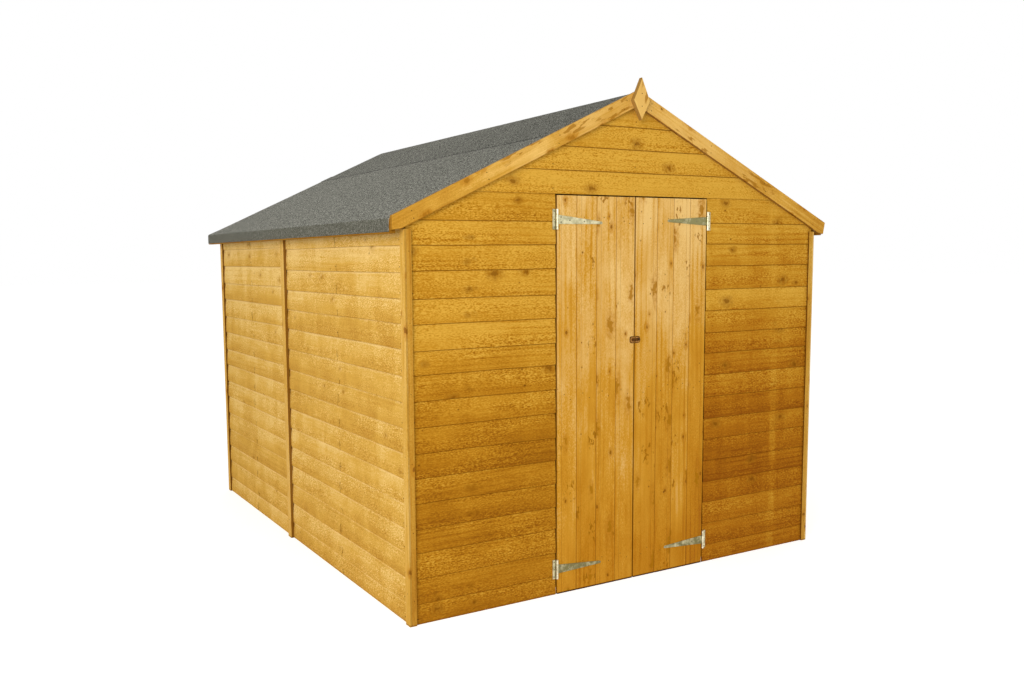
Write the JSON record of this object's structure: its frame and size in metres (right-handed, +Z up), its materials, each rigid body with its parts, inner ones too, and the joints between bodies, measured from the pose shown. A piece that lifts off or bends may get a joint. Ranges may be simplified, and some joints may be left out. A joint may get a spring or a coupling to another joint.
{
  "type": "wooden garden shed",
  "caption": "Overlap-clad wooden garden shed with a felted apex roof, bargeboards with a diamond finial, and boarded double doors on tee hinges that swing outwards.",
  "frame": {"origin": "middle of the plan, on the ground", "axes": "front gable with the doors faces -Y, ridge along Y, +X to the right seen from the front, +Z up"},
  "size_m": [2.536, 2.897, 2.36],
  "materials": {
    "cladding": "rough-sawn, golden-brown dip treatment",
    "door_timber": "planed, golden-brown dip treatment",
    "framing": "sawn, pale",
    "trim": "planed, golden-brown dip treatment",
    "joint_strip": "sawn, dark brown dip treatment",
    "sheet": "strand board, untreated",
    "felt": "mineral-surfaced bitumen felt, grey-green",
    "galvanised": "zinc-galvanised, satin",
    "latch": "dark brown"
  },
  "bodies": {
    "shed": {"left_front_cladding": "cladding", "left_rear_cladding": "cladding", "right_front_cladding": "cladding", "right_rear_cladding": "cladding", "front_left_cladding": "cladding", "front_right_cladding": "cladding", "front_gable_cladding": "cladding", "rear_cladding": "cladding", "left_studs": "framing", "left_rails": "framing", "right_studs": "framing", "right_rails": "framing", "front_studs": "framing", "front_rails": "framing", "front_top_battens": "framing", "rear_studs": "framing", "rear_rails": "framing", "rear_top_battens": "framing", "roof_purlins": "framing", "eaves_battens": "framing", "floor_bearers": "framing", "front_corner_trims": "trim", "rear_corner_trims": "trim", "front_left_barge": "trim", "front_right_barge": "trim", "rear_left_barge": "trim", "rear_right_barge": "trim", "front_finial": "trim", "side_joint_strips": "joint_strip", "floor_sheet": "sheet", "left_roof_sheet": "sheet", "right_roof_sheet": "sheet", "left_felt": "felt", "right_felt": "felt", "ridge_felt": "felt", "left_hinge_flaps": "galvanised", "right_hinge_flaps": "galvanised"},
    "left_door": {"left_door_boards": "door_timber", "left_door_ledges": "door_timber", "left_hinge_straps": "galvanised", "left_latch_plate": "latch"},
    "right_door": {"right_door_boards": "door_timber", "right_door_ledges": "door_timber", "right_hinge_straps": "galvanised", "right_latch_plate": "latch"}
  },
  "joints": [
    {"name": "left_door_swing", "type": "hinge", "parent": "shed", "child": "left_door", "pos_m": [-0.4465, -1.4135, 0], "axis": [0, 0, -1], "range_deg": [0, 165]},
    {"name": "right_door_swing", "type": "hinge", "parent": "shed", "child": "right_door", "pos_m": [0.4465, -1.4135, 0], "axis": [0, 0, 1], "range_deg": [0, 165]}
  ]
}
